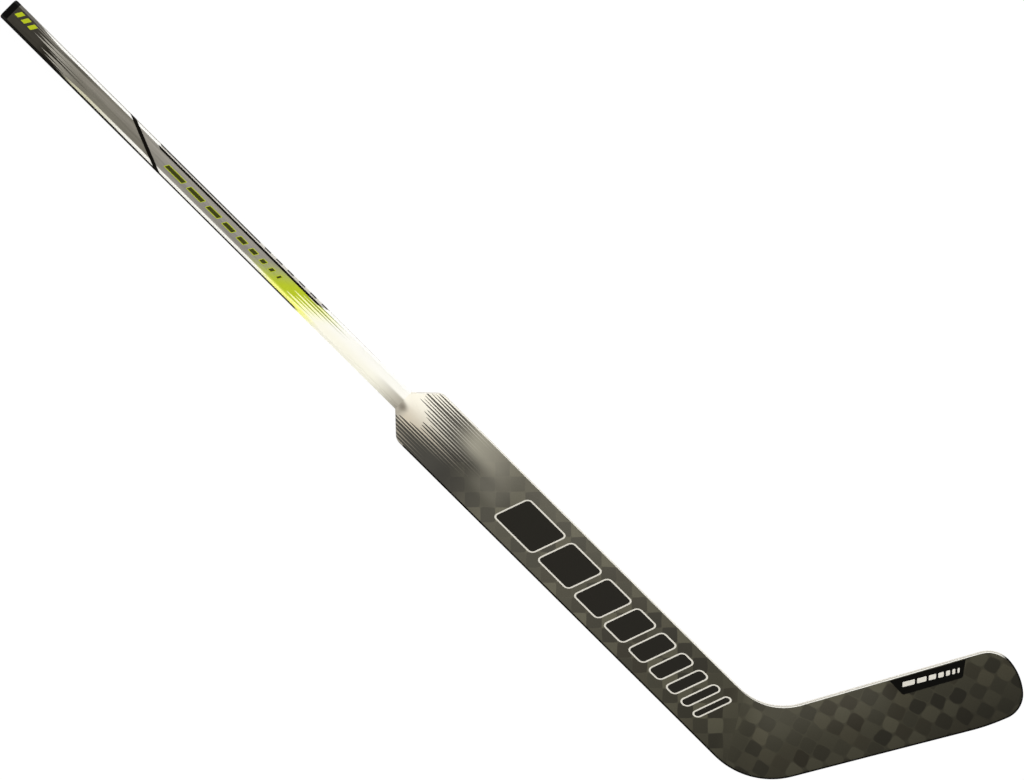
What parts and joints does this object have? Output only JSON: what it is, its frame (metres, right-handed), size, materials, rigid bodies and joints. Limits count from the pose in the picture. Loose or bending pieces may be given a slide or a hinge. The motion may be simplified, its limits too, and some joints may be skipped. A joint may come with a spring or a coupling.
{
  "type": "hockey goalie stick",
  "caption": "Ice hockey goalie stick: slim eight-sided shaft, wide flat paddle and a curved blade at the heel, foam-cored with woven carbon faces.",
  "frame": {"origin": "middle of the paddle's flat back face, on the shaft's centre line", "axes": "+X along the shaft and paddle towards the heel, +Y towards the side the blade turns to, +Z out of the playing face; the stick lies on its back"},
  "size_m": [1.6299, 0.371, 0.0238],
  "materials": {
    "shaft_paint": "semi-gloss painted carbon tube",
    "cap": "moulded, matte",
    "bar": "raw moulded carbon",
    "neck_paint": "semi-gloss paint",
    "rail": "clear-coated carbon edge",
    "paddle_carbon": "clear-coated check-woven carbon",
    "blade_carbon": "clear-coated check-woven carbon",
    "foam": "closed-cell foam",
    "dense_foam": "dense closed-cell foam",
    "web": "raw carbon sheet",
    "label": "thin printed film"
  },
  "bodies": {
    "root": {"shaft_tube": "shaft_paint", "butt_plug": "cap", "neck_tenon": "bar", "neck_fairing": "neck_paint", "neck_plate": "rail", "shoulder_rail_outer": "rail", "shoulder_rail_inner": "rail", "paddle_rail_outer": "rail", "paddle_rail_inner": "rail", "heel_rail_outer": "rail", "heel_rail_inner": "rail", "blade_sole_rail": "rail", "blade_top_rail": "rail", "toe_rail": "rail", "paddle_front_skin": "paddle_carbon", "paddle_back_skin": "paddle_carbon", "blade_front_skin": "blade_carbon", "blade_back_skin": "blade_carbon", "paddle_core_outer": "foam", "paddle_core_centre": "foam", "paddle_core_inner": "foam", "paddle_spar_outer": "web", "paddle_spar_inner": "web", "heel_core": "dense_foam", "blade_core_lower": "foam", "blade_core_upper": "foam", "blade_rib": "web", "blade_label": "label"}
  },
  "joints": []
}
